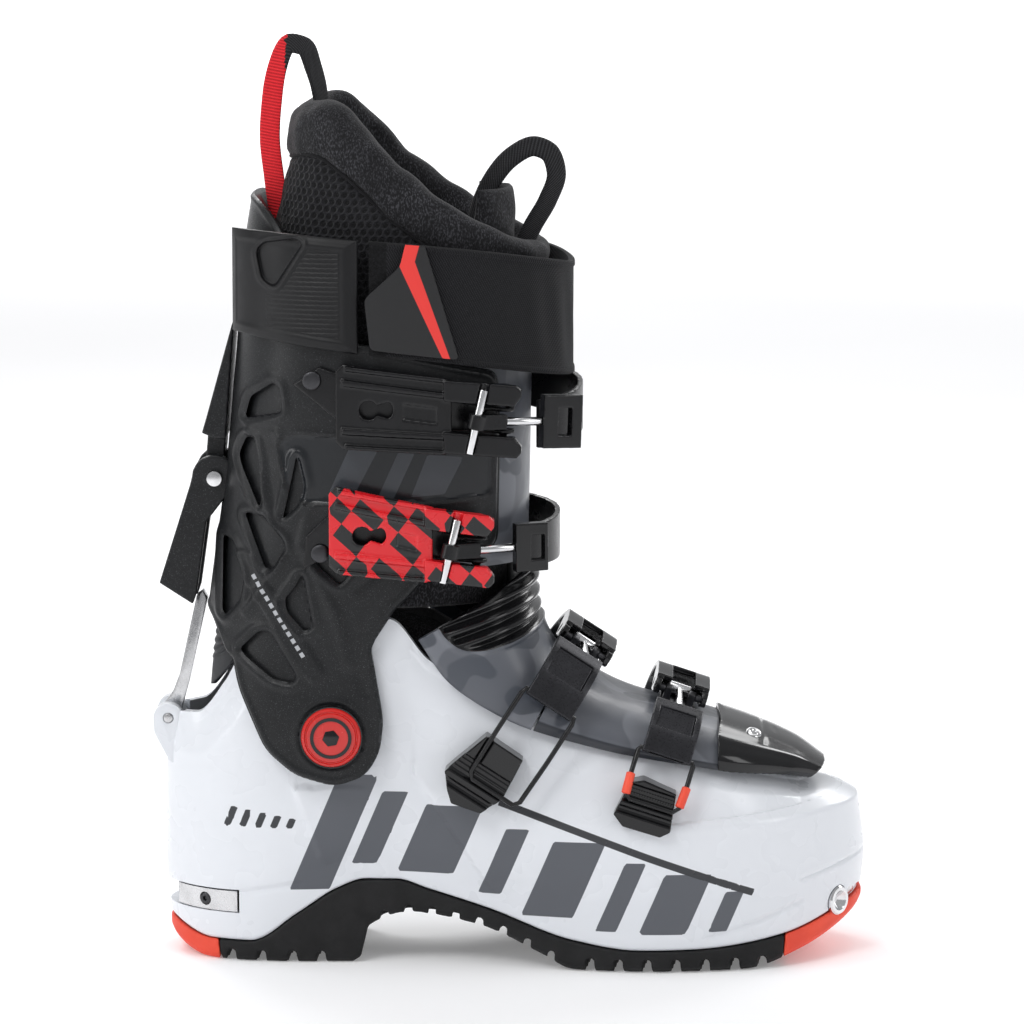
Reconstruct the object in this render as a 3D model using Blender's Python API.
"""Alpine touring boot, right foot: lower shell, walking cuff, liner, tongue, four buckles and the
ski/walk lock.  +Z is up, +X points to the toe, the lateral side is -Y and the medial side +Y.
The origin is the point of the ground plane under the cuff pivot, on the middle plane of the boot.
All values are millimetres; finish() turns each piece into metres."""
import math
from types import SimpleNamespace

import bmesh
import bpy
import numpy as np
from mathutils import Vector

# ------------------------------------------------------------------ driving dimensions
MM = 0.001
PIVOT_Z = 100.0                 # height of the cuff pivot over the ground
LOCK_X, LOCK_Z = -71.0, 100.0   # pin of the lock bar on the heel
LEVER_X, LEVER_Z = -50.4, 202.6  # pin of the ski/walk lever on the cuff spine
SHELL_WALL, CUFF_WALL, TONGUE_WALL, LINER_WALL = 4.0, 4.0, 3.0, 9.0
CUFF_SQUARENESS = 2.35          # exponent of the cuff's oval section
LINER_SQUARENESS = 2.3
SHARP_ANGLE = 40                # degrees; steeper edges are shaded sharp
SIDES = ((-1, "lateral"), (1, "medial"))

for old in list(bpy.data.objects):
    bpy.data.objects.remove(old, do_unlink=True)


# ------------------------------------------------------------------ materials
MATERIAL_TABLE = {   # name: (base colour, metallic, roughness)
    "shell_white": ((0.74, 0.75, 0.78), 0.0, 0.22),
    "tongue_grey": ((0.17, 0.18, 0.20), 0.0, 0.35),
    "cuff_carbon": ((0.025, 0.026, 0.028), 0.0, 0.5),
    "black_plastic": ((0.012, 0.012, 0.013), 0.0, 0.35),
    "black_rubber": ((0.012, 0.012, 0.012), 0.0, 0.75),
    "red_rubber": ((0.75, 0.09, 0.03), 0.0, 0.6),
    "red_plastic": ((0.65, 0.02, 0.02), 0.0, 0.3),
    "steel": ((0.62, 0.62, 0.63), 1.0, 0.3),
    "grey_metal": ((0.16, 0.16, 0.17), 0.9, 0.38),
    "liner_fabric": ((0.035, 0.036, 0.04), 0.0, 0.95),
    "webbing_black": ((0.018, 0.018, 0.02), 0.0, 0.85),
    "webbing_red": ((0.5, 0.02, 0.03), 0.0, 0.85),
    "board_foam": ((0.05, 0.05, 0.055), 0.0, 0.9),
}


def make_material(name, colour, metallic, roughness):
    material = bpy.data.materials.new(name)
    material.use_nodes = True
    inputs = material.node_tree.nodes["Principled BSDF"].inputs
    inputs["Base Color"].default_value = (*colour, 1)
    inputs["Metallic"].default_value = metallic
    inputs["Roughness"].default_value = roughness
    material.diffuse_color = (*colour, 1)
    return material


MATERIALS = {name: make_material(name, *row) for name, row in MATERIAL_TABLE.items()}


# ------------------------------------------------------------------ curves
def smooth_curve(stations):
    """Monotone cubic through (position, value) pairs, held constant past both ends."""
    at = np.array([s[0] for s in stations], float)
    value = np.array([s[1] for s in stations], float)
    step = np.diff(at)
    rise = np.diff(value) / step
    before, after = rise[:-1], rise[1:]
    total = np.where(before + after == 0, 1, before + after)
    inner = np.where(before * after > 0, 2 * before * after / total, 0)
    slope = np.concatenate([[rise[0]], inner, [rise[-1]]])

    def value_at(query):
        query = np.clip(np.asarray(query, float), at[0], at[-1])
        i = np.clip(np.searchsorted(at, query) - 1, 0, len(at) - 2)
        t = (query - at[i]) / step[i]
        return (value[i] * (1 + 2 * t) * (1 - t) ** 2 + slope[i] * step[i] * t * (1 - t) ** 2
                + value[i + 1] * t * t * (3 - 2 * t) + slope[i + 1] * step[i] * t * t * (t - 1))
    return value_at


def signed_power(value, exponent):
    return np.sign(value) * np.abs(value) ** exponent


def oval(rear, front, middle, half, angles, squareness):
    """x and y round a squared oval. Angle 0 is the rear, pi the front, the lateral side first."""
    c, s = np.cos(angles), np.sin(angles)
    reach = np.where(c > 0, middle - rear, front - middle)
    exponent = 2 / squareness
    return middle - reach * signed_power(c, exponent), -half * signed_power(s, exponent)


def arc(centre, radius, start, end, count):
    """Side-view points (x, z) on a circle, angles in degrees."""
    return [(centre[0] + radius * math.cos(math.radians(a)),
             centre[1] + radius * math.sin(math.radians(a))) for a in np.linspace(start, end, count)]


# ------------------------------------------------------------------ mesh helpers
BOX_FACES = [(0, 1, 3, 2), (4, 6, 7, 5), (0, 4, 5, 1), (2, 3, 7, 6), (0, 2, 6, 4), (1, 5, 7, 3)]


def solid_mesh(points, faces):
    """Closed mesh in millimetres as a temporary object, normals outwards."""
    bm = bmesh.new()
    verts = [bm.verts.new(Vector(p)) for p in points]
    for face in faces:
        try:
            bm.faces.new([verts[i] for i in face])
        except ValueError:
            pass                 # guards against a face that repeats a corner or another face
    bmesh.ops.remove_doubles(bm, verts=bm.verts, dist=1e-3)
    bmesh.ops.recalc_face_normals(bm, faces=bm.faces)
    if bm.calc_volume(signed=True) < 0:
        bmesh.ops.reverse_faces(bm, faces=bm.faces)
    mesh = bpy.data.meshes.new("tmp")
    bm.to_mesh(mesh)
    bm.free()
    piece = bpy.data.objects.new("tmp", mesh)
    bpy.context.scene.collection.objects.link(piece)
    return piece


def boolean(target, tool, operation, solver="EXACT"):
    """Apply the tool to the target; the tool is used up."""
    modifier = target.modifiers.new("b", "BOOLEAN")
    modifier.operation = operation
    modifier.object = tool
    modifier.solver = solver
    bpy.context.view_layer.update()
    evaluated = target.evaluated_get(bpy.context.evaluated_depsgraph_get())
    mesh = bpy.data.meshes.new_from_object(evaluated)
    target.modifiers.clear()
    target.data = mesh
    bpy.data.objects.remove(tool, do_unlink=True)
    return target


def cut(target, *tools):
    for tool in tools:
        boolean(target, tool, "DIFFERENCE")
    return target


def join(target, tool):
    return boolean(target, tool, "UNION")


def keep_inside(target, tool):
    return boolean(target, tool, "INTERSECT")


def duplicate(piece):
    twin = piece.copy()
    twin.data = piece.data.copy()
    bpy.context.scene.collection.objects.link(twin)
    return twin


def extruded(first, last):
    """Solid between two equal polygons."""
    n = len(first)
    sides = [(i, (i + 1) % n, n + (i + 1) % n, n + i) for i in range(n)]
    return solid_mesh(first + last, [tuple(range(n)), tuple(range(n, 2 * n))] + sides)


def prism(outline, y0, y1):
    """Side-view polygon (x, z) extruded along Y."""
    return extruded([(x, y0, z) for x, z in outline], [(x, y1, z) for x, z in outline])


def plan_prism(outline, z0, z1):
    """Plan polygon (x, y) extruded along Z."""
    return extruded([(x, y, z0) for x, y in outline], [(x, y, z1) for x, y in outline])


def side_box(x0, x1, z0, z1, y0, y1):
    return prism([(x0, z0), (x1, z0), (x1, z1), (x0, z1)], y0, y1)


def ring_walls(rows, n):
    return [(j * n + k, j * n + (k + 1) % n, (j + 1) * n + (k + 1) % n, (j + 1) * n + k)
            for j in range(rows - 1) for k in range(n)]


def flat_ended(rings):
    """Solid through equal closed rings, with one flat face at each end."""
    rows, n = len(rings), len(rings[0])
    ends = [tuple(range(n)), tuple(range((rows - 1) * n, rows * n))]
    return solid_mesh([p for ring in rings for p in ring], ring_walls(rows, n) + ends)


def turned(start, axis, profile, n=16):
    """Solid of revolution: profile is [(distance along the axis from start, radius), ...]."""
    axis, up = Vector(axis).normalized(), Vector((0, 0, 1))
    u = up - axis * axis.dot(up)
    u = u.normalized() if u.length > 1e-6 else axis.orthogonal().normalized()
    w = axis.cross(u)
    start = Vector(start)
    turns = [2 * math.pi * k / n for k in range(n)]
    return flat_ended([[start + axis * h + (u * math.cos(q) + w * math.sin(q)) * r for q in turns]
                       for h, r in profile])


def rod(start, end, radius, n=10):
    line = Vector(end) - Vector(start)
    return turned(start, line, [(0, radius), (line.length, radius)], n)


def cross_rod(x, z, half, radius, n=12):
    """Rod along Y, centred on the middle plane."""
    return rod((x, -half, z), (x, half, z), radius, n)


def tube(path, radius, flat=1.0):
    """Eight-sided bar along a path; flat scales its thickness towards Y-parallel."""
    points, n = [Vector(p) for p in path], 8
    rings = []
    for i, p in enumerate(points):
        along = (points[min(i + 1, len(points) - 1)] - points[max(i - 1, 0)]).normalized()
        side = Vector((0, 1, 0)).cross(along)
        side = side.normalized() if side.length > 1e-4 else along.orthogonal().normalized()
        other = along.cross(side)
        turns = [2 * math.pi * (k + 0.5) / n for k in range(n)]
        rings.append([p + side * math.cos(q) * radius + other * math.sin(q) * radius * flat
                      for q in turns])
    return flat_ended(rings)


def double_walls(rows, columns, spans):
    """Faces of two equal point grids stored one after the other."""
    n, faces = rows * columns, []
    for a in range(rows - 1):
        for b in range(spans):
            p, q = a * columns + b, a * columns + (b + 1) % columns
            faces.append((p, q, q + columns, p + columns))
            faces.append((n + p + columns, n + q + columns, n + q, n + p))
    return faces


def rim_faces(row, rows, columns, spans):
    """Faces that join the two grids along one row."""
    n, faces = rows * columns, []
    for b in range(spans):
        p, q = row * columns + b, row * columns + (b + 1) % columns
        faces.append((p, q, n + q, n + p))
    return faces


def strips_across(base, n):
    """Faces that close a ring by strips from one side to the other."""
    faces = [tuple(dict.fromkeys((base + b, base + b + 1, base + (n - b - 1) % n, base + (n - b) % n)))
             for b in range(n // 2)]
    return [face for face in faces if len(face) > 2]


def grid_points(*grids):
    return [tuple(p) for grid in grids for p in grid.reshape(-1, 3)]


def slab(outer, inner, closed=False):
    """Solid between two equal point grids [row][column]; closed joins last and first column."""
    outer, inner = np.asarray(outer, float), np.asarray(inner, float)
    rows, columns = outer.shape[:2]
    n = rows * columns
    spans = columns if closed else columns - 1
    faces = double_walls(rows, columns, spans)
    for row in (0, rows - 1):
        faces += rim_faces(row, rows, columns, spans)
    if not closed:
        for b in (0, columns - 1):
            for a in range(rows - 1):
                p = a * columns + b
                faces.append((p, p + columns, n + p + columns, n + p))
    return solid_mesh(grid_points(outer, inner), faces)


def cup(outer, inner):
    """Bowl between two stacks of closed rings, each closed at its first ring."""
    outer, inner = np.asarray(outer, float), np.asarray(inner, float)
    rows, columns = outer.shape[:2]
    faces = double_walls(rows, columns, columns) + rim_faces(rows - 1, rows, columns, columns)
    for base in (0, rows * columns):
        faces += strips_across(base, columns)
    return solid_mesh(grid_points(outer, inner), faces)


def stack(rings):
    """Solid through closed rings, both ends closed by strips across."""
    rings = np.asarray(rings, float)
    rows, n = rings.shape[:2]
    faces = ring_walls(rows, n) + strips_across(0, n) + strips_across((rows - 1) * n, n)
    return solid_mesh(grid_points(rings), faces)


# ------------------------------------------------------------------ bodies and finished pieces
BODIES = {}   # name: (empty at the body's axis, its place)


def add_body(name, place=(0, 0, 0)):
    empty = bpy.data.objects.new("axis_" + name, None)
    empty.empty_display_size = 0.01
    empty.location = Vector(place) * MM
    bpy.context.scene.collection.objects.link(empty)
    BODIES[name] = (empty, Vector(place))


def finish(piece, name, material, owner):
    """Temporary object into the named piece, in metres, under its body's axis."""
    empty, place = BODIES[owner]
    bm = bmesh.new()
    bm.from_mesh(piece.data)
    bmesh.ops.remove_doubles(bm, verts=bm.verts, dist=2e-3)
    bmesh.ops.dissolve_limit(bm, angle_limit=math.radians(0.6), verts=bm.verts, edges=bm.edges)
    bmesh.ops.triangulate(bm, faces=[f for f in bm.faces if len(f.verts) > 4])
    for v in bm.verts:
        v.co = (v.co - place) * MM
    if bm.calc_volume(signed=True) < 0:
        bmesh.ops.reverse_faces(bm, faces=bm.faces)
    mesh = bpy.data.meshes.new(name)
    bm.to_mesh(mesh)
    bm.free()
    bpy.data.objects.remove(piece, do_unlink=True)
    mesh.materials.append(MATERIALS[material])
    finished = bpy.data.objects.new(name, mesh)
    bpy.context.scene.collection.objects.link(finished)
    finished.parent = empty
    mesh.shade_smooth()
    mesh.set_sharp_from_angle(angle=math.radians(SHARP_ANGLE))


# ------------------------------------------------------------------ form of the lower shell
# Curves by x. The shell has five levels: sole edge, low, ridge, high, rim.
sole_edge_z = smooth_curve([
    (-72, 15.4), (-52, 8.7), (-36, 8.7), (-15, 21.3), (0.8, 31.5), (13, 35.6), (26, 35.6),
    (39, 32), (64, 25), (99.5, 12.8), (127, 9.2), (152, 9.6), (188, 14), (225, 27)])
ridge_z = smooth_curve([(-73, 62), (-30, 70), (0, 76), (40, 74), (90, 64), (142, 62), (177, 63),
                        (201, 65), (225, 66)])
rim_z = smooth_curve([
    (-73, 103), (-58, 104), (-46, 118), (-30, 146), (-5, 150), (24, 148), (40, 131), (61, 119),
    (80, 110), (95, 104), (120, 96.5), (160, 87.5), (182, 79.5), (195, 74)])
foot_middle_y = smooth_curve([(-73, 0), (30, 0), (110, 1.5), (170, 5), (225, 10)])
LEVEL_REAR_X = (-71.0, -73.0, -73.0, -72.5, -71.5)
LEVEL_FRONT_X = (221.5, 223.0, 220.0, 211.0, 195.0)
LEVEL_HALF_WIDTH = [smooth_curve(stations) for stations in (
    [(-73, 31), (-40, 34), (20, 31), (70, 39), (140, 50), (175, 48), (225, 36)],
    [(-73, 33), (-40, 37), (20, 34.5), (70, 43), (140, 53), (175, 51), (225, 39)],
    [(-73, 33), (-40, 37.5), (20, 38.5), (70, 45.5), (140, 53), (175, 51.5), (225, 40)],
    [(-73, 30), (-40, 37), (0, 41), (40, 41.3), (80, 43.5), (140, 47.5), (175, 45), (215, 36)],
    [(-73, 25), (-50, 27), (-40, 29), (-25, 34.5), (0, 40.3), (40, 40.5), (62, 40), (95, 38.5),
     (125, 37.5), (160, 34), (200, 28)])]
LEVELS = (0, 0.35, 1, 1.5, 2, 2.5, 3, 3.5, 4)   # rings of the shell, in levels

# x of the ring points along each side, and their angles once round from the heel, medial side first
RING_X = (-69.5, -65.3, -60, -54.3, -46, -38, -27, -16, -3, 8.6, 13.6, 22, 32, 46, 60, 74, 88, 100,
          112, 125, 138, 150, 161, 172, 184, 196, 205, 213, 219)
SIDE_TURNS = [math.acos(1 - 2 * (x - LEVEL_REAR_X[0]) / (LEVEL_FRONT_X[0] - LEVEL_REAR_X[0]))
              for x in RING_X]
RING_TURNS = np.array([0.0] + SIDE_TURNS + [math.pi]
                      + [2 * math.pi - t for t in reversed(SIDE_TURNS)])


def level_mix(values, level):
    i = min(int(level), 3)
    part = level - i
    return values[i] * (1 - part) + values[i + 1] * part


def shell_ring(level, t=RING_TURNS, inset=0.0):
    """Points on the outside of the lower shell, moved inwards by inset, at angles t."""
    rear = np.interp(level, range(5), LEVEL_REAR_X)
    front = np.interp(level, range(5), LEVEL_FRONT_X)
    x = rear + (front - rear) * (1 - np.cos(t)) / 2 if False else (
        rear + (front - rear) * ((1 - np.cos(t)) / 2))
    half = level_mix([curve(x) for curve in LEVEL_HALF_WIDTH], level)
    end_rounding = np.sqrt(np.maximum(1 - np.abs(np.cos(t)) ** 6, 0))
    side = np.sign(np.sin(t))
    y = foot_middle_y(x) + half * side * end_rounding - side * inset * end_rounding
    x = x + inset * np.cos(t)
    edge, ridge, rim = sole_edge_z(x), ridge_z(x), rim_z(x)
    z = level_mix([edge, edge + 0.42 * (ridge - edge), ridge, ridge + 0.58 * (rim - ridge), rim],
                  level)
    return np.stack([x, y, z], -1)


# ------------------------------------------------------------------ form of the cuff, curves by z
cuff_rear_x = smooth_curve([(60, -62), (120, -58), (150, -54), (200, -47), (251, -42),
                            (302, -37.5), (325, -34)])
cuff_front_x = smooth_curve([(60, 79), (150, 84), (200, 85.5), (252, 86.5), (325, 92)])
cuff_half_y = smooth_curve([(60, 48.5), (100, 48.5), (130, 47.5), (165, 48), (210, 50), (255, 52),
                            (325, 52)])


def cuff_section(z, offset):
    """Rear, front, middle and half width of the cuff's outside, moved out by offset."""
    rear, front = cuff_rear_x(z) - offset, cuff_front_x(z) + offset
    return rear, front, rear + 0.46 * (front - rear), cuff_half_y(z) + offset


def cuff_point(z, angles, offset):
    x, y = oval(*cuff_section(z, offset), angles, CUFF_SQUARENESS)
    return np.stack([x, y, z + 0 * x], -1)


def cuff_y(x, z, offset=0.0):
    """Half width of the cuff's outside at (x, z), moved out by offset."""
    rear, front, middle, half = cuff_section(z, offset)
    reach = np.where(x < middle, middle - rear, front - middle)
    inside = np.maximum(1 - np.abs((x - middle) / reach) ** CUFF_SQUARENESS, 1e-6)
    return half * inside ** (1 / CUFF_SQUARENESS)


def cuff_sheet(inner, outer, heights, angles, closed=False):
    """Sheet between two offsets from the cuff's outside."""
    return slab([cuff_point(z, angles, outer) for z in heights],
                [cuff_point(z, angles, inner) for z in heights], closed)


def side_patch(outline, inner, outer, side=-1, step=7.0):
    """Side-view polygon as a plate on the cuff's side, between two offsets from its outside."""
    p = np.array(outline, float)
    x0, x1, z0, z1 = p[:, 0].min() - 1, p[:, 0].max() + 1, p[:, 1].min() - 1, p[:, 1].max() + 1
    xs = np.linspace(x0, x1, max(2, int((x1 - x0) / step) + 2))
    zs = np.linspace(z0, z1, max(2, int((z1 - z0) / 30) + 2))

    def grid(offset):
        return [[(x, side * cuff_y(x, z, offset), z) for x in xs] for z in zs]
    return keep_inside(slab(grid(outer), grid(inner)), prism(outline, side * 5, side * 90))


def pivot_bore():
    return cross_rod(0, PIVOT_Z, 60, 6.0, 16)


# ------------------------------------------------------------------ buckle dimensions
CUFF_HINGE_LINE = Vector((0.225, 0, 0.974)).normalized()   # hinge line of both cuff levers

# Cuff buckles, on the lateral side. Points are (x, y, z), or (x, z) in side view.
UPPER = SimpleNamespace(
    key="upper", colour="black_plastic",
    hinge=(72.7, -46.8, 232.3), hook_hinge=(60.5, -54.5, 232.5),
    handle_x=3.0, handle_z=239.0, fork_z=232.0,     # rear end of the lever, its middle at each end
    handle_tall=35.0, fork_tall=30.0,
    catch=(94.0, -40.0, 231.0), catch_tall=22.0, catch_long=17.0,
    rivet=(-7.0, 249.0), tail_low=(-15, 247.0), tail_high=(-4, 254.5))
LOWER = SimpleNamespace(
    key="lower", colour="red_plastic",
    hinge=(61.5, -46.8, 178.5), hook_hinge=(49.5, -54.5, 178.8),
    handle_x=0.0, handle_z=188.0, fork_z=178.0,
    handle_tall=36.0, fork_tall=30.0,
    catch=(83.0, -41.5, 179.0), catch_tall=20.0, catch_long=14.0,
    rivet=(-4.0, 177.0), tail_low=(-11, 170.0), tail_high=(-10, 184.0))


def buckle_frame(origin, line):
    """Function from (distance along the hinge line, y, height over the instep) to (x, y, z)."""
    line = Vector(line).normalized()
    normal = Vector((-line.z, 0, line.x))

    def place(along, y, height):
        return tuple(Vector(origin) + line * along + Vector((0, y, 0)) + normal * height)
    return place


# Foot buckles. Hinges, paths and bail bar are (y, height) in the buckle's frame; the ladder is a
# side-view outline (x, z); middle is the place of plate and bail along the hinge line.
INSTEP = SimpleNamespace(
    key="instep", place=buckle_frame((104.0, 0.0, 130.0), (0.84, 0, -0.545)),
    hinge=(-5.0, 0.6), plate_hinge=(7.0, -0.6), bail_hinge=(-50.4, -20.0),
    base_path=[(-6.5, -5.6), (6, -5.6), (20, -5.7), (32, -7.6), (41, -12.2), (46.5, -20),
               (48.3, -32), (48.0, -50)],
    lever_path=[(-4, 3.6), (14, 4.8), (30, 0.6), (41, -7.0), (48, -17), (52.3, -30), (53.5, -38)],
    plate_path=[(-49, -22.5), (-45, -12.0), (-38.5, -5.0), (-30, -0.6)],
    lever_half=12.0, middle=-3.0, bail_bar=(-53.2, -64.0),
    ladder=[(47, 86.5), (47.9, 78.8), (49.6, 72.9), (61.7, 68.6), (71, 74.6), (79.4, 91.1),
            (64.3, 101.3), (51.2, 90.3)],
    tooth_pitch=6.0)
FOREFOOT = SimpleNamespace(
    key="forefoot", place=buckle_frame((144.0, 0.0, 109.0), (0.95, 0, -0.31)),
    hinge=(-5.0, 1.6), plate_hinge=(7.0, 0.6), bail_hinge=(-47.6, -17.2),
    base_path=[(-6.5, -3.6), (6, -3.6), (20, -3.7), (32, -4.6), (42, -7.6), (48.5, -14),
               (52.0, -24), (56.8, -42), (57.6, -54)],
    lever_path=[(-4, 4.6), (15, 5.6), (31, 2.8), (42, -1.5), (51, -9), (56.5, -21), (60.0, -33),
                (61.5, -42)],
    plate_path=[(-46.2, -19.0), (-42.5, -11), (-36, -5.8), (-27, -2.2)],
    lever_half=11.5, middle=0.0, bail_bar=(-54.7, -38.0),
    ladder=[(116.8, 69), (120.5, 63.9), (136, 59.2), (140.3, 61.3), (142.8, 77.5), (129.4, 83.4),
            (123.9, 82.6)],
    tooth_pitch=5.0)
FOOT_BASE_HALF = 7.5   # half width of both foot buckles' bases


def add_bodies():
    add_body("shell")
    add_body("cuff", (0, 0, PIVOT_Z))
    add_body("walk_lever", (LEVER_X, 0.0, LEVER_Z))
    add_body("lock_bar", (LOCK_X, 0.0, LOCK_Z))
    for b in (UPPER, LOWER):
        add_body(b.key + "_lever", b.hinge)
        add_body(b.key + "_hook", b.hook_hinge)
    for b in (INSTEP, FOREFOOT):
        add_body(b.key + "_lever", b.place(0, *b.hinge))
        add_body(b.key + "_plate", b.place(0, *b.plate_hinge))
        add_body(b.key + "_bail", b.place(b.middle, *b.bail_hinge))


# ------------------------------------------------------------------ lower shell and its fittings
FLOOR_RAISE = (4.5, 4.0)   # lift of the two lowest inner rings


def build_lower_shell():
    outer = [shell_ring(k) for k in LEVELS]
    inner = [shell_ring(k, inset=SHELL_WALL) for k in LEVELS]
    for ring, lift in zip(inner, FLOOR_RAISE):
        ring[:, 2] += lift
    shell = cup(outer, inner)
    shell = cut(shell, side_box(-90, -63.7, 95.2, 125, -12.3, 12.3))   # slot at the lock bar
    for s, _ in SIDES:   # ears that hold the lock bar's pin
        ear = prism([(-69.2, 82.7), (-70.6, 82.5), (-77.0, 94)]
                    + arc((LOCK_X, LOCK_Z), 6.0, 180, 10, 8) + [(-65.1, 90)], s * 7.0, s * 11.5)
        ear = cut(ear, rod((LOCK_X, s * 3.0, LOCK_Z), (LOCK_X, s * 16.0, LOCK_Z), 2.25, 11))
        shell = join(shell, ear)
    shell = cut(shell, pivot_bore())
    # pockets of the fittings at the heel and the toe
    shell = cut(shell, side_box(-80, -40.5, 20, 31, -34.5, 34.5))
    shell = boolean(shell, side_box(204.6, 241, 12.3, 28.7, -15.3, 34.6), "DIFFERENCE",
                    solver="MANIFOLD")
    finish(shell, "lower_shell", "shell_white", "shell")


def fitting_limit():
    """Lower part of the shell's outside, drawn in a little, that bounds the steel fittings."""
    return stack([shell_ring(k) * np.array([0.985, 0.985, 1]) for k in (0, 0.5, 1, 1.5)])


def build_heel_fitting():
    """Steel bar across the heel, with one slanting screw on its lateral side."""
    screw, outwards = Vector((-55, -25.0, 25.5)), Vector((-0.50, -0.866, 0))
    bar = keep_inside(side_box(-67, -41, 21, 30, -33.5, 33.5), fitting_limit())
    bar = cut(bar, rod(tuple(screw - outwards * 6), tuple(screw + outwards * 9), 2.8, 12))
    finish(bar, "heel_tech_insert", "steel", "shell")
    finish(turned(tuple(screw - outwards * 5.5), outwards, [(0, 2.4), (5.2, 2.4), (5.7, 2.0)], 12),
           "heel_insert_screw", "steel", "shell")


def build_toe_fitting():
    block = prism([(205.6, 18.6), (218, 20.5), (218, 28.0), (205.6, 28.0)], -14, 33)
    finish(keep_inside(block, fitting_limit()), "toe_tech_insert", "steel", "shell")


# ------------------------------------------------------------------ outsole
sole_under_z = smooth_curve([   # underside by x
    (-73, 9), (-60, 1.5), (-54, 0), (10, 0), (13.5, 15), (32, 21.5), (60, 17.5), (88, 5.5),
    (100, 0), (172, 0), (196, 6.5), (212, 14), (226, 23)])
GROOVE_X = (-40, -27, 116, 130, 144, 158)   # V-shaped grooves across the tread
INSERT_GAP = 0.6                            # between the outsole and its red inserts


def sole_ring(grow, height):
    """Sole edge in plan, widened by grow, at the heights given by a function of x."""
    ring = shell_ring(0)
    middle = foot_middle_y(ring[:, 0])
    ring[:, 1] = middle + (ring[:, 1] - middle) * (1 + grow / 40)
    ring[:, 0] -= grow * np.cos(RING_TURNS) * 0.6
    ring[:, 2] = height(ring[:, 0])
    return ring


def heel_zone(gap=0.0):
    return prism([(-80, -2), (-47.5 - gap, -2), (-51.0 - gap, 30), (-80, 30)], -80, 80)


def toe_zone(gap=0.0):
    return prism([(187 + gap, -2), (189 + gap, 30), (240, 40), (240, -2)], -80, 80)


def build_outsole():
    sole = stack([
        sole_ring(-1.5, lambda x: np.minimum(sole_under_z(x), sole_edge_z(x) - 2.4)),
        sole_ring(0.8, lambda x: np.minimum(sole_under_z(x) + 2.5, sole_edge_z(x) - 1.4)),
        sole_ring(0.8, lambda x: sole_edge_z(x) - 1.0)])
    sole = cut(sole, plan_prism([(-90, -80), (240, -80), (240, 80), (-90, 80)], -10, 0))
    for x in GROOVE_X:
        sole = cut(sole, plan_prism([(x, -60), (x + 4, 0), (x, 60), (x - 4, 60), (x, 0),
                                     (x - 4, -60)], -5, 3.2))
    heel, toe = duplicate(sole), duplicate(sole)
    finish(cut(sole, heel_zone(), toe_zone()), "outsole", "black_rubber", "shell")
    finish(keep_inside(heel, heel_zone(INSERT_GAP)), "heel_rubber_insert", "red_rubber", "shell")
    finish(keep_inside(toe, toe_zone(INSERT_GAP)), "toe_rubber_insert", "red_rubber", "shell")


# ------------------------------------------------------------------ boot board
board_top_z = smooth_curve([(-73, 35), (-30, 36), (0, 42), (20, 46), (39, 43), (64, 35),
                            (100, 23.5), (150, 20.5), (190, 25), (225, 38)])


def build_boot_board():
    turns = np.linspace(0, 2 * math.pi, 32, endpoint=False)
    bottom = shell_ring(0.35, turns, SHELL_WALL + 5.0)
    x = bottom[:, 0]
    bottom[:, 2] = np.minimum(sole_edge_z(x) + 7.6, board_top_z(x) - 2)
    top = shell_ring(0.35, turns, SHELL_WALL + 3.5)
    top[:, 2] = board_top_z(top[:, 0])
    board = cut(stack([bottom, top]), side_box(-90, -40, 5, 31, -60, 60),
                side_box(204, 240, 5, 29, -60, 60))   # room for the heel and toe fittings
    finish(board, "boot_board", "board_foam", "shell")


# ------------------------------------------------------------------ foot of the liner, curves by x
LINER_FOOT_REAR, LINER_FOOT_LONG = -66, 258
LINER_FOOT_X = np.concatenate([[-66, -62, -54], np.linspace(-40, 160, 11), [172, 182, 189, 192]])
liner_foot_top = smooth_curve([
    (-66, 90), (-60, 95), (-50, 101), (-42, 119), (-34, 136), (-22, 147), (-10, 149), (30, 149),
    (50, 138), (66, 130), (80, 122), (95, 113), (110, 104), (140, 94), (165, 85), (186, 72),
    (192, 62)])
liner_foot_low = smooth_curve([
    (-66, 46), (-58, 38.5), (-30, 37.2), (0, 43.2), (20, 47.2), (39, 44.2), (64, 36.2), (100, 25),
    (150, 23), (180, 29), (192, 44)])
liner_foot_half = smooth_curve([
    (-66, 7), (-60, 14), (-50, 20), (-40, 26.0), (0, 29.5), (20, 30), (40, 32), (80, 35.5),
    (130, 40), (165, 36), (182, 25), (192, 12)])


def liner_foot_body(inset):
    turns = np.linspace(0, 2 * math.pi, 24, endpoint=False)
    across, upward = signed_power(np.sin(turns), 0.8), signed_power(np.cos(turns), 0.8)
    rings = []
    for station in LINER_FOOT_X:
        part = (station - LINER_FOOT_REAR) / LINER_FOOT_LONG
        x = LINER_FOOT_REAR + inset + part * (LINER_FOOT_LONG - 2 * inset)
        top = float(liner_foot_top(station)) - inset
        low = float(liner_foot_low(station)) + inset
        half = max(float(liner_foot_half(station)) - inset, 3.0)
        half_tall = max((top - low) / 2, 3.0)
        rings.append(np.stack([x + 0 * turns, foot_middle_y(x) + half * across,
                               (top + low) / 2 + half_tall * upward], -1))
    return stack(rings)


def build_liner_foot():
    foot = cut(liner_foot_body(0), liner_foot_body(7.0))
    turns = np.linspace(0, 2 * math.pi, 20, endpoint=False)
    opening = stack([np.stack([-2 + 29 * np.cos(turns), 22.5 * np.sin(turns), z + 0 * turns], -1)
                     for z in (95, 160)])
    finish(cut(foot, opening), "liner_foot", "liner_fabric", "shell")


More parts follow.
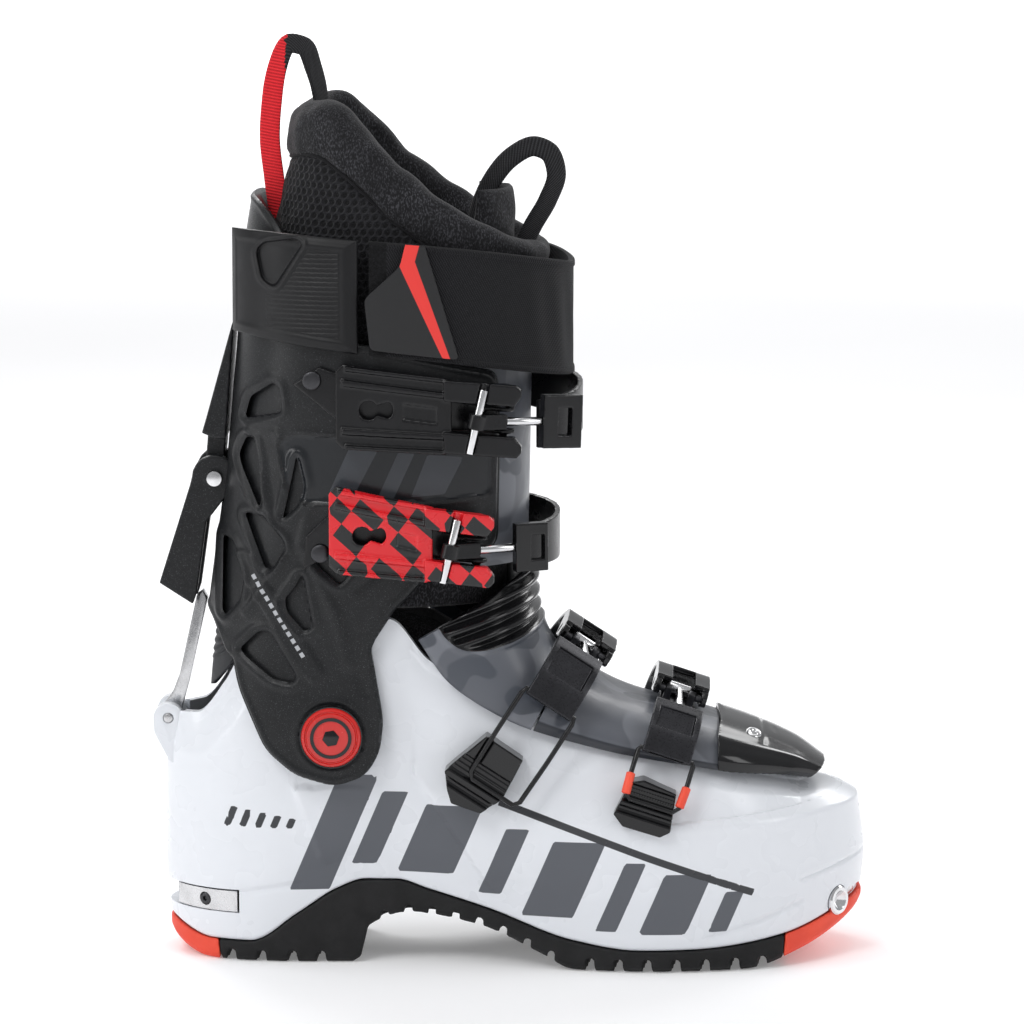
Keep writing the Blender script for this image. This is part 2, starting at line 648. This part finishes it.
# ------------------------------------------------------------------ tongue
# Centre line (x, z) and edge (x, half width, z) by position s: 0 at the toe, 1 under the cuff
TONGUE_S = (0.0, 0.08, 0.28, 0.48, 0.56, 0.68, 0.8, 0.9, 1.0)
tongue_x, tongue_z, edge_x, edge_half, edge_z = (smooth_curve(list(zip(TONGUE_S, row))) for row in (
    (203, 191, 161, 121, 109, 92, 84.5, 82.5, 82),
    (76.5, 84.5, 96, 108, 114, 126, 140, 152, 166),
    (199, 188, 161, 121, 104, 80, 63, 48, 36),
    (15, 25.5, 39.2, 41.6, 42.4, 43.3, 43.5, 43.4, 42.7),
    (76.0, 79.5, 84.3, 91.7, 96, 103.5, 112, 123, 140)))
BELLOWS_START, BELLOWS_LONG, BELLOWS_WAVES = 0.675, 0.325, 5


def tongue_point(s, across, offset):
    """Point moved out by offset; across goes from -1 (lateral edge) to +1 (medial edge)."""
    angle = across * math.pi / 2
    sideways = signed_power(np.sin(angle), 0.85)
    crown = np.abs(np.cos(angle)) ** 0.75
    x = edge_x(s) + (tongue_x(s) - edge_x(s)) * crown
    z = edge_z(s) + (tongue_z(s) - edge_z(s)) * crown
    y = edge_half(s) * sideways + foot_middle_y(x) * 0.9
    dx = tongue_x(s + 1e-3) - tongue_x(s - 1e-3)
    dz = tongue_z(s + 1e-3) - tongue_z(s - 1e-3)
    length = math.hypot(dx, dz)
    return np.stack([x + dz / length * offset * crown, y + offset * sideways,
                     z + -dx / length * offset * crown], -1)


def tongue_sheet(start, end, rows, columns, inner, outer, ripple=lambda s: 0):
    across = np.linspace(-1, 1, columns)
    stations = np.linspace(start, end, rows)
    return slab([tongue_point(s, across, outer + ripple(s)) for s in stations],
                [tongue_point(s, across, inner + ripple(s)) for s in stations])


def bellows_ripple(s):
    return 1.5 * math.sin(2 * math.pi * BELLOWS_WAVES * (s - BELLOWS_START) / BELLOWS_LONG)


def build_tongue():
    finish(tongue_sheet(0.02, 0.66, 14, 15, 0.0, TONGUE_WALL),
           "tongue_lower", "tongue_grey", "shell")
    finish(tongue_sheet(BELLOWS_START, 1.0, 17, 13, -1.2, 1.4, bellows_ripple),
           "tongue_bellows", "black_rubber", "shell")


def build_tongue_anchor():
    """Black cap that holds the tongue's toe end, with its rivet."""
    cap = tongue_sheet(0.0, 0.30, 8, 13, TONGUE_WALL + 0.6, TONGUE_WALL + 2.6)
    outline = [(160, 60), (215, 60), (215, 110), (186, 92), (172, 101), (160, 101)]
    finish(keep_inside(cap, prism(outline, -70, 70)), "tongue_anchor_cap", "black_plastic", "shell")
    foot = tongue_point(0.2, np.array([-0.30]), TONGUE_WALL + 3.7)[0]
    finish(turned(tuple(foot), (0.25, -0.45, 0.85), [(0, 3.2), (1.0, 3.0), (1.6, 2.0)], 12),
           "tongue_anchor_rivet", "steel", "shell")


# ------------------------------------------------------------------ cuff
CUFF_OUTLINE = [   # (x, z), side view
    (-66, 322), (-31, 322), (-21, 311), (-9, 286), (1, 266), (35, 259), (68.5, 251), (69.5, 230),
    (69, 200), (68.5, 178), (43, 170), (31, 157), (26.5, 153), (18, 140), (16.4, 136), (20, 115),
    (21.4, 106), (20, 93), (14, 83), (1.3, 78.5), (-15.5, 83), (-28, 93), (-34, 106),
    (-39.5, 118), (-42, 130), (-45, 132), (-51, 144), (-57.5, 150), (-75, 150), (-75, 322)]
CUFF_POCKETS = [   # (x, z), shallow recesses on both sides
    [(-29, 241), (-27.5, 249), (-17.5, 252), (-13, 243), (-27, 240)],
    [(-39, 223), (-35, 226), (-31.5, 219), (-29, 204), (-32, 203)],
    [(-36, 199), (-28, 199), (-19, 188), (-24, 177), (-29, 177.5), (-34, 191)],
    [(-46, 188), (-41, 187), (-38, 174), (-40, 163), (-45, 157)],
    [(-37, 143.5), (-28, 151), (-20, 145), (-13, 133), (-23, 131), (-36, 139)],
    [(-19, 166), (-13, 173), (-9, 154), (-14, 152), (-20, 161)],
    [(-20, 231), (0, 229), (60, 218), (62, 205), (10, 203), (-18, 208)]]
POCKET_DEPTH = 1.8


def build_cuff():
    sheet = cuff_sheet(-CUFF_WALL, 0.0, np.linspace(60.0, 326.0, 16),
                       np.linspace(0.0, 2 * math.pi, 44, endpoint=False), closed=True)
    cuff = keep_inside(sheet, prism(CUFF_OUTLINE, -80, 80))
    cuff = cut(cuff, pivot_bore())
    for s, _ in SIDES:
        for outline in CUFF_POCKETS:
            cuff = cut(cuff, side_patch(outline, -POCKET_DEPTH, 4.0, s, step=20))
    for s, _ in SIDES:   # room for the eyes of the walk lever
        cuff = cut(cuff, rod((LEVER_X, s * 8.1, LEVER_Z), (LEVER_X, s * 14.3, LEVER_Z), 10.6, 20))
    finish(cuff, "cuff", "cuff_carbon", "cuff")


def build_upper_tongue():
    angles = np.linspace(math.radians(112), math.radians(248), 21)
    finish(cuff_sheet(-7.4, -4.6, np.linspace(169, 263, 5), angles),
           "tongue_upper", "tongue_grey", "cuff")


def build_pivots():
    for s, side in SIDES:
        bolt = turned((0, s * 31.6, PIVOT_Z), (0, s, 0), [(0, 9), (2.6, 9), (2.6, 5.5), (16.6, 5.5)])
        finish(bolt, "pivot_bolt_" + side, "steel", "shell")
        cap = turned((0, s * 49.0, PIVOT_Z), (0, s, 0),
                     [(0, 12.6), (2.4, 12.2), (3.4, 10.5), (3.4, 3.5), (2.6, 3.0)], 20)
        finish(cap, "pivot_cap_" + side, "red_plastic", "cuff")


def build_gaiter():
    """Rubber behind the ankle, closing the gap between the shell's collar and the cuff."""
    angles = np.radians(np.linspace(-66, 66, 17))
    low = rim_z(cuff_point(115.0, angles, -6.0)[:, 0]) + 5.0

    def face(offset):
        return [cuff_point(low + part * (146 - low), angles, offset) for part in (0, 0.33, 0.66, 1)]
    finish(slab(face(-5.0), face(-6.6)), "rear_gaiter", "black_rubber", "shell")


# ------------------------------------------------------------------ ski / walk lock
def lever_pin_bore():
    return cross_rod(LEVER_X, LEVER_Z, 30, 2.4)


def build_walk_lever():
    outline = ([(-74, 158), (-60, 149), (-58.3, 154), (-54.0, 184)]
               + arc((LEVER_X, LEVER_Z), 9.6, -65, 180, 14) + [(-60.8, 199.5)])
    channel = [(-72.5, 140), (-70.5, 160), (-61.2, 192.5), (-67, 194.5), (-66, 225), (-35, 225),
               (-35, 140)]
    lever = cut(prism(outline, -13.5, 13.5), prism(channel, -8.8, 8.8))
    finish(cut(lever, lever_pin_bore()), "walk_lever", "cuff_carbon", "walk_lever")


def build_lock_housing():
    """Spine on the rear of the cuff, with a narrow foot between the lever's eyes."""
    spine = prism([(-41.6, 271), (-53.4, 229), (-55.6, 221.5), (-50, 219.2), (-45.6, 219.2),
                   (-44.8, 230), (-43.2, 251)], -13.5, 13.5)
    foot = prism([(-46.2, 222), (-53.4, 222), (-54.6, 206), (-55.0, 199.5), (-51, 196),
                  (-48.5, 196.5), (-46.2, 216)], -7.8, 7.8)
    spine = cut(join(spine, foot), lever_pin_bore())
    spine = cut(spine, cuff_sheet(-6.0, 0.4, np.linspace(180, 290, 8), np.linspace(-1.2, 1.2, 25)))
    finish(spine, "lock_housing", "cuff_carbon", "cuff")


def build_walk_lever_screw():
    finish(turned((LEVER_X, -16.2, LEVER_Z), (0, 1, 0),
                  [(0, 3.2), (2.2, 3.4), (2.2, 2.0), (32.4, 2.0)], 14),
           "walk_lever_screw", "steel", "cuff")


def build_lock_bar():
    bar = prism([(-74.6, 98), (-71, 95.8), (-67.2, 97.2), (-65.6, 104), (-62.5, 115),
                 (-54.8, 149.5), (-56.6, 153), (-59.2, 151), (-66.5, 118), (-69.5, 110),
                 (-73.8, 104)], -4.2, 4.2)
    finish(cut(bar, cross_rod(LOCK_X, LOCK_Z, 20, 2.2)), "lock_bar", "steel", "lock_bar")
    finish(cross_rod(LOCK_X, LOCK_Z, 11.2, 1.8), "lock_bar_pin", "steel", "shell")


# ------------------------------------------------------------------ the two cuff buckles
FORK_ARM = 8.6   # height of each arm of the lever's fork


def hinge_rod(point, start, end, radius):
    """Rod along the cuff buckles' hinge line, from start to end past the point."""
    return rod(tuple(Vector(point) + CUFF_HINGE_LINE * start),
               tuple(Vector(point) + CUFF_HINGE_LINE * end), radius, 12)


def lever_middle_z(b, x):
    return b.handle_z + (b.fork_z - b.handle_z) * (x - b.handle_x) / (b.hinge[0] + 4.0 - b.handle_x)


def bowed(b, outline, inner, outer):
    """Side-view polygon as a plate that follows the lever's line in plan, which bows outwards."""
    x_end, y_start, y_end = b.hinge[0] + 4.0, -56.6, b.hinge[1] - 0.6
    p = np.array(outline, float)
    xs = np.linspace(p[:, 0].min() - 1, p[:, 0].max() + 1,
                     max(3, int(np.ptp(p[:, 0]) / 8.0) + 2))
    zs = (p[:, 1].min() - 1, p[:, 1].max() + 1)

    def line_y(x):
        part = (x - b.handle_x) / (x_end - b.handle_x)
        return float(y_start + (y_end - y_start) * np.clip(part, 0, 1.1) ** 1.8)

    def grid(offset):
        return [[(x, line_y(x) - offset, z) for x in xs] for z in zs]
    return keep_inside(slab(grid(outer), grid(-inner)), prism(outline, -90, 0))


def build_cuff_lever(b):
    start, end = b.handle_x, b.hinge[0] + 4.0
    fork_x = start + 0.60 * (end - start)   # where the plate opens into its fork
    start_z, fork_z = lever_middle_z(b, start), lever_middle_z(b, fork_x)
    half_start, half_fork = b.handle_tall / 2, b.fork_tall / 2
    plate = bowed(b, [
        (start, start_z - half_start + 3), (start + 3, start_z - half_start),
        (fork_x + 3, fork_z - half_fork), (fork_x + 3, fork_z + half_fork),
        (start + 3, start_z + half_start), (start, start_z + half_start - 3)], 1.4, 1.6)
    slot_start, slot_end = start + 9.5, start + 23.5
    z = lever_middle_z(b, (slot_start + slot_end) / 2)
    slot = ([(slot_start, z)] + arc((slot_start + 4, z), 4, 150, 30, 5)
            + arc((slot_end - 4, z), 4, 60, -60, 6) + arc((slot_start + 4, z), 4, -30, -150, 5))
    plate = cut(plate, prism(slot, -80, -30))
    for s in (1, -1):   # upper and lower arm of the fork
        z0, z1 = fork_z + s * half_fork, lever_middle_z(b, end) + s * half_fork
        z2 = lever_middle_z(b, end - 1) + s * half_fork
        z3 = lever_middle_z(b, end + 2) + s * half_fork
        arm = bowed(b, [(fork_x, z0), (fork_x, z0 - s * FORK_ARM), (end - 1, z1 - s * FORK_ARM),
                        (end + 2, z1 - s * FORK_ARM * 0.55), (end + 2, z1 - s * 2), (end, z1)]
                    if z2 == z3 else
                    [(fork_x, z0), (fork_x, z0 - s * FORK_ARM), (end - 1, z1 - s * FORK_ARM),
                     (end + 2, z1 - s * FORK_ARM * 0.55), (end + 2, z1 - s * 2), (end, z1)],
                    1.6, 4.6)
        plate = join(plate, arm)
    plate = cut(plate, hinge_rod(b.hinge, -30, 30, 2.1), hinge_rod(b.hook_hinge, -30, 30, 2.1))
    finish(plate, b.key + "_lever", b.colour, b.key + "_lever")


def build_cuff_buckle_base(b):
    """Plate on the cuff with two lugs and the lever's hinge journals, and its rivet."""
    x, y, z = b.hinge
    half_fork = b.fork_tall / 2
    gap = half_fork - FORK_ARM - 1.0   # half the room between the fork's arms
    start, start_z = b.handle_x, lever_middle_z(b, b.handle_x)
    base = side_patch([b.tail_low, (start + 4, start_z - 9), (x - 8, z - gap + 0.2),
                       (x - 4, z - gap + 0.2), (x - 4, z + gap - 0.2), (x - 8, z + gap - 0.2),
                       (start + 6, start_z + 11), b.tail_high], 0.5, 2.2)
    for low, high in ((gap - 1.7, gap), (-gap, -gap + 1.7)):
        lug = plan_prism([(x - 13, -float(cuff_y(x - 13, z, 0.9))),
                          (x - 4, -float(cuff_y(x - 4, z, 0.9))), (x + 2.5, y + 2.8),
                          (x + 3.2, y), (x + 1.5, y - 2.8), (x - 2, y - 3.0)], z + low, z + high)
        base = join(base, lug)
    for low, high in ((gap - 1.0, half_fork - 1.0), (-half_fork + 1.0, -gap + 1.0)):
        base = join(base, hinge_rod(b.hinge, low, high, 1.7))
    rivet_x, rivet_z = b.rivet
    rivet_y = -float(cuff_y(rivet_x, rivet_z))
    base = cut(base, rod((rivet_x, rivet_y + 6, rivet_z), (rivet_x, rivet_y - 8, rivet_z), 2.9, 12))
    finish(base, b.key + "_buckle_base", "grey_metal", "cuff")
    finish(turned((rivet_x, rivet_y - 0.5, rivet_z), (0, -1, 0),
                  [(0, 2.5), (2.6, 2.5), (2.6, 4.0), (3.3, 3.6), (3.7, 2.2)], 14),
           b.key + "_buckle_rivet", "steel", "cuff")


def build_cuff_hook(b):
    """Hook pin, block, threaded rod and the catch block for the ladder strap."""
    pin_half = b.fork_tall / 2 - 1.5
    finish(hinge_rod(b.hook_hinge, -pin_half, pin_half, 1.7), b.key + "_hook_pin", "steel",
           b.key + "_lever")
    origin, catch = Vector(b.hook_hinge), Vector(b.catch)
    forward = (catch - origin).normalized()
    sideways = Vector((-forward.y, forward.x, 0)).normalized()
    upright = forward.cross(sideways).normalized()

    def box(along, across, tall):
        return solid_mesh([tuple(origin + forward * i + sideways * j + upright * k)
                           for i in along for j in across for k in tall], BOX_FACES)
    half = 3.1
    eye = turned(tuple(origin + CUFF_HINGE_LINE * -half), CUFF_HINGE_LINE,
                 [(0, 3.6), (2 * half, 3.6)])
    block = join(box((0.5, 12.5), (-2.5, 2.5), (-half, half)), eye)
    block = cut(block, hinge_rod(b.hook_hinge, -20, 20, 2.1))
    finish(block, b.key + "_hook_block", "black_plastic", b.key + "_hook")
    reach = (catch - origin).length
    finish(rod(tuple(origin + forward * 12.9), tuple(origin + forward * (reach - 8.4)), 1.8, 12),
           b.key + "_adjuster_rod", "steel", b.key + "_hook")
    tall = b.catch_tall
    block = box((reach - 8.0, reach - 8.0 + b.catch_long), (-3.0, 2.2), (-tall / 2, tall / 2))
    block = cut(block, box((reach - 1.5, reach + 4.5), (-8, 8), (-tall * 0.26, tall * 0.26)))
    finish(block, b.key + "_catch_block", "black_plastic", b.key + "_hook")


# ------------------------------------------------------------------ bands round the cuff
def oval_band(front, half, low, high, start, end, count, thick, rear=-52.0):
    """Upright strip on an oval from angle start to end (degrees, 180 is the front).
    low and high give its edges as functions of the angle in radians."""
    angles = np.radians(np.linspace(start, end, count))

    def row(height, offset):
        x, y = oval(rear, front + offset, 14.0, half + offset, angles, CUFF_SQUARENESS)
        return np.stack([x, y, height(angles)], -1)
    return slab([row(low, thick), row(high, thick)], [row(low, 0), row(high, 0)])


def sloping(first, last):
    """Height going from first at 222 degrees to last at 140 degrees."""
    return lambda angle: first + (last - first) * (np.degrees(angle) - 222.0) / (140.0 - 222.0)


def build_catch_straps():
    """Ladder straps from the medial flap of the cuff round the front to the catch blocks."""
    finish(oval_band(101, 52.6, sloping(226, 219), sloping(246, 239), 262, 141, 19, 2.2),
           "upper_catch_strap", "black_plastic", "cuff")
    finish(oval_band(91.5, 50.7, sloping(168, 169), sloping(190, 186), 262, 142, 19, 2.2),
           "lower_catch_strap", "black_plastic", "cuff")


def strap_top(angle):
    return (299 + 14 * (np.cos(angle - math.radians(5)) * 0.5 + 0.5)
            - 6 * (1 - np.abs(np.sin(angle))))


def strap_bottom(angle):
    return 250 + 20 * (np.cos(angle) * 0.5 + 0.5) - 4 * (1 - np.abs(np.sin(angle)))


def build_power_strap():
    """Strap from the rear of the medial side round the front to its anchor on the lateral side."""
    finish(oval_band(97, 54.2, strap_bottom, strap_top, 91, 325, 34, 2.2, rear=-46),
           "power_strap", "webbing_black", "cuff")
    finish(oval_band(97, 53.6, strap_bottom, strap_top, 25, 89, 12, 3.4, rear=-46),
           "strap_anchor_plate", "black_rubber", "cuff")
    finish(oval_band(97.6, 57.4, lambda a: strap_bottom(a) + 4, lambda a: strap_top(a) - 2,
                     100.8, 128, 10, 1.6, rear=-46),
           "strap_tab", "webbing_black", "cuff")


# ------------------------------------------------------------------ instep and forefoot buckles
def section_strip(b, path, start, end, thick):
    """Strip along a (y, height) path, from start to end along the hinge line."""
    inner = np.array(path, float)
    tangent = np.gradient(inner, axis=0)
    tangent /= np.linalg.norm(tangent, axis=1)[:, None]
    outer = inner + np.stack([-tangent[:, 1], tangent[:, 0]], -1) * thick
    return slab(*([[b.place(a, *q) for a in (start, end)] for q in side]
                  for side in (outer, inner)))


def section_rod(b, point, start, end, radius, n=12):
    return rod(b.place(start, *point), b.place(end, *point), radius, n)


def section_prism(b, outline, start, end):
    """(y, height) polygon extruded along the hinge line."""
    return extruded([b.place(start, *q) for q in outline], [b.place(end, *q) for q in outline])


def build_foot_lever(b):
    w = b.lever_half
    (y, h), (plate_y, plate_h) = b.hinge, b.plate_hinge
    first, second, third = b.lever_path[:3]
    lever = section_strip(b, b.lever_path, -w, w, 2.4)
    cheek = [(y - 3.4, h + 1.6), (y - 3.0, h - 2.2), (y + 0.5, h - 3.2),
             (plate_y + 0.5, plate_h - 3.4), (plate_y + 4.5, plate_h - 2.0),
             (third[0] - 6, third[1] + 1.9), (second[0], second[1] + 1.3),
             (first[0] + 1, first[1] + 1.2), (y - 1.5, h + 3.6)]
    for start, end in ((w - 2.6, w), (-w, -w + 2.6)):
        lever = join(lever, section_prism(b, cheek, start, end))
    lever = cut(lever, section_rod(b, b.hinge, -30, 30, 1.9),
                section_rod(b, b.plate_hinge, -30, 30, 2.1))
    slot = solid_mesh([b.place(i, j, k) for i in (-5.0, 5.0) for j in (-30, plate_y + 13)
                       for k in (-12, 16)], BOX_FACES)
    finish(cut(lever, slot), b.key + "_lever", "grey_metal", b.key + "_lever")


def build_foot_base(b):
    """Strip on the foot with two lugs and the lever's hinge journals."""
    y, h = b.hinge
    first, second = b.base_path[:2]
    base = section_strip(b, b.base_path, -FOOT_BASE_HALF, FOOT_BASE_HALF, 1.2)
    lug = [(y - 2.4, h + 1.2), (y + 0.3, h + 2.4), (y + 2.8, h + 1.0),
           (y + 4.5, second[1] + 1.2), (first[0] + 0.4, first[1] + 0.3)]
    for s in (-1, 1):
        base = join(base, section_prism(b, lug, *sorted((s * 3.6, s * (FOOT_BASE_HALF - 1)))))
        journal = sorted((s * 5.0, s * (b.lever_half - 0.5)))
        base = join(base, section_rod(b, b.hinge, *journal, 1.5))
    finish(base, b.key + "_buckle_base", "grey_metal", "shell")


def build_foot_adjuster(b):
    """Thick pin in the lever with a rod to the plate."""
    w = b.lever_half
    pin = join(section_rod(b, b.plate_hinge, -(w - 3.2), w - 3.2, 2.8, 16),
               section_rod(b, b.plate_hinge, -w + 0.3, w - 0.3, 1.7))
    end = Vector(b.plate_path[-1])
    tangent = (end - Vector(b.plate_path[-2])).normalized()
    end = end + Vector((-tangent.y, tangent.x)) * 2.1   # middle of the plate's thickness
    start = Vector(b.plate_hinge)
    line = (end - start).normalized()
    pin = join(pin, rod(b.place(0, *(start + line * 1.0)), b.place(0, *(end - line * 0.9)), 1.6))
    finish(pin, b.key + "_adjuster_rod", "steel", b.key + "_plate")


def build_foot_plate(b):
    half, middle = b.lever_half - 1.2, b.middle
    plate = section_strip(b, b.plate_path, middle - half, middle + half, 4.2)
    start, end = Vector(b.plate_path[0]), Vector(b.plate_path[-1])
    line = (end - start).normalized()
    normal = Vector((-line.y, line.x))
    length = (end - start).length
    near, far = start + line * length * 0.36, start + line * length * 0.84
    pocket = [near + normal * (length * 0.12 + 2.6), far + normal * (length * 0.09 + 2.6),
              far + normal * 20, near + normal * 20]
    plate = cut(plate, section_prism(b, [tuple(p) for p in pocket],
                                     middle - half + 2.6, middle + half - 2.6))
    plate = cut(plate, section_rod(b, b.bail_hinge, middle - 30, middle + 30, 1.5, 10))
    finish(plate, b.key + "_plate", "grey_metal", b.key + "_plate")


def bail_path(b):
    """Wire with both ends in the plate and its bar lying in the ladder."""
    hinge, bar = b.bail_hinge, b.bail_bar
    half = b.lever_half - 1.2 + 1.6
    bend = (hinge[0] * 0.94 + bar[0] * 0.06, hinge[1] * 0.94 + bar[1] * 0.06)
    halfway = (hinge[0] * 0.5 + bar[0] * 0.5 - 0.8, hinge[1] * 0.5 + bar[1] * 0.5)
    leg = [(half - 4.4, hinge), (half - 0.7, hinge), (half, bend), (half, halfway),
           (half - 0.4, (bar[0], bar[1] + 2.5)), (half - 2.5, bar)]
    leg = leg + [(-a, point) for a, point in reversed(leg)]
    return [b.place(b.middle + a, *point) for a, point in leg]


def build_ladder(b):
    """Toothed ladder on the shell's lateral side."""
    y, h = b.bail_bar
    ladder = prism(b.ladder, -40, y + 0.1)
    ladder = cut(ladder, stack([shell_ring(k, inset=-0.45) for k in LEVELS]))
    for k in (-1, 0, 0.33, 0.67, 1):
        ladder = cut(ladder, section_rod(b, (y - 0.1, h + k * b.tooth_pitch), b.middle - 40,
                                         b.middle + 40, 1.7, 10))
    ladder = cut(ladder, tube(bail_path(b), 1.6))
    finish(ladder, b.key + "_ladder", "black_plastic", "shell")


# ------------------------------------------------------------------ liner above the ankle
liner_rear_x = smooth_curve([(150, -44.5), (200, -38), (251, -32.5), (300, -25), (330, -19.5),
                             (357, -14), (370, -11)])
liner_front_x = smooth_curve([(150, 71), (200, 73), (252, 76), (285, 82), (300, 87), (325, 88),
                              (370, 82)])
liner_half_y = smooth_curve([(150, 37.5), (200, 41), (252, 43.5), (300, 45), (330, 43), (370, 40)])
liner_top_z = smooth_curve([   # top edge by x
    (-20, 353), (-12, 358), (0, 362), (12, 353), (30, 335), (45, 322), (60, 313), (75, 305),
    (90, 298)])


def liner_sheet(heights, angles, outer, inner, closed=False):
    """Sheet between two insets from the liner's outside."""
    def ring(z, inset):
        rear, front = liner_rear_x(z) + inset, liner_front_x(z) - inset
        x, y = oval(rear, front, rear + 0.45 * (front - rear), liner_half_y(z) - inset, angles,
                    LINER_SQUARENESS)
        return np.stack([x, y, z + 0 * angles], -1)
    return slab([ring(z, outer) for z in heights], [ring(z, inner) for z in heights], closed)


def build_liner_cuff():
    liner = liner_sheet((151, 180, 210, 240, 262, 285, 305, 325, 345, 366),
                        np.linspace(0, 2 * math.pi, 32, endpoint=False),
                        0, LINER_WALL + 1.5, closed=True)
    top = [(x, float(liner_top_z(x))) for x in np.linspace(-24, 92, 16)]
    outline = [(-60, 140), (120, 140), (120, 298)] + top[::-1] + [(-60, 350)]
    finish(keep_inside(liner, prism(outline, -60, 60)), "liner_cuff", "liner_fabric", "cuff")


def build_liner_tongue():
    """Tongue of the liner, standing inside the front of its collar."""
    finish(liner_sheet((200, 240, 285, 310, 326), np.radians(np.linspace(131, 229, 11)),
                       LINER_WALL + 3.6, LINER_WALL + 9.5),
           "liner_tongue", "liner_fabric", "cuff")


def build_liner_loops():
    rear = [(-25.2, 326), (-26.6, 336), (-26.5, 350), (-24.0, 368), (-21.5, 379), (-17.5, 384.0),
            (-11.5, 381), (-6.8, 375), (-2.8, 367.5)]
    front = [(62.0, 329.5), (67.0, 339), (75, 345.0), (84.0, 341.5), (90.5, 332), (91.5, 322),
             (90.0, 309)]
    finish(tube([(x, 0, z) for x, z in rear], 4.0, flat=0.3),
           "liner_rear_loop", "webbing_red", "cuff")
    finish(tube([(x, 0, z) for x, z in front], 3.6, flat=0.35),
           "liner_front_loop", "webbing_black", "cuff")


# ------------------------------------------------------------------ assembly
add_bodies()
build_lower_shell()
build_heel_fitting()
build_toe_fitting()
build_outsole()
build_boot_board()
build_liner_foot()
build_tongue()
build_tongue_anchor()
build_cuff()
build_upper_tongue()
build_pivots()
build_gaiter()
build_walk_lever()
build_lock_housing()
build_walk_lever_screw()
build_lock_bar()
for buckle in (UPPER, LOWER):
    build_cuff_lever(buckle)
    build_cuff_buckle_base(buckle)
    build_cuff_hook(buckle)
build_catch_straps()
for buckle in (INSTEP, FOREFOOT):
    build_foot_lever(buckle)
    build_foot_base(buckle)
    build_foot_adjuster(buckle)
    build_foot_plate(buckle)
    finish(tube(bail_path(buckle), 1.05), buckle.key + "_bail", "black_plastic",
           buckle.key + "_bail")
    build_ladder(buckle)
build_liner_cuff()
build_liner_tongue()
build_liner_loops()
build_power_strap()
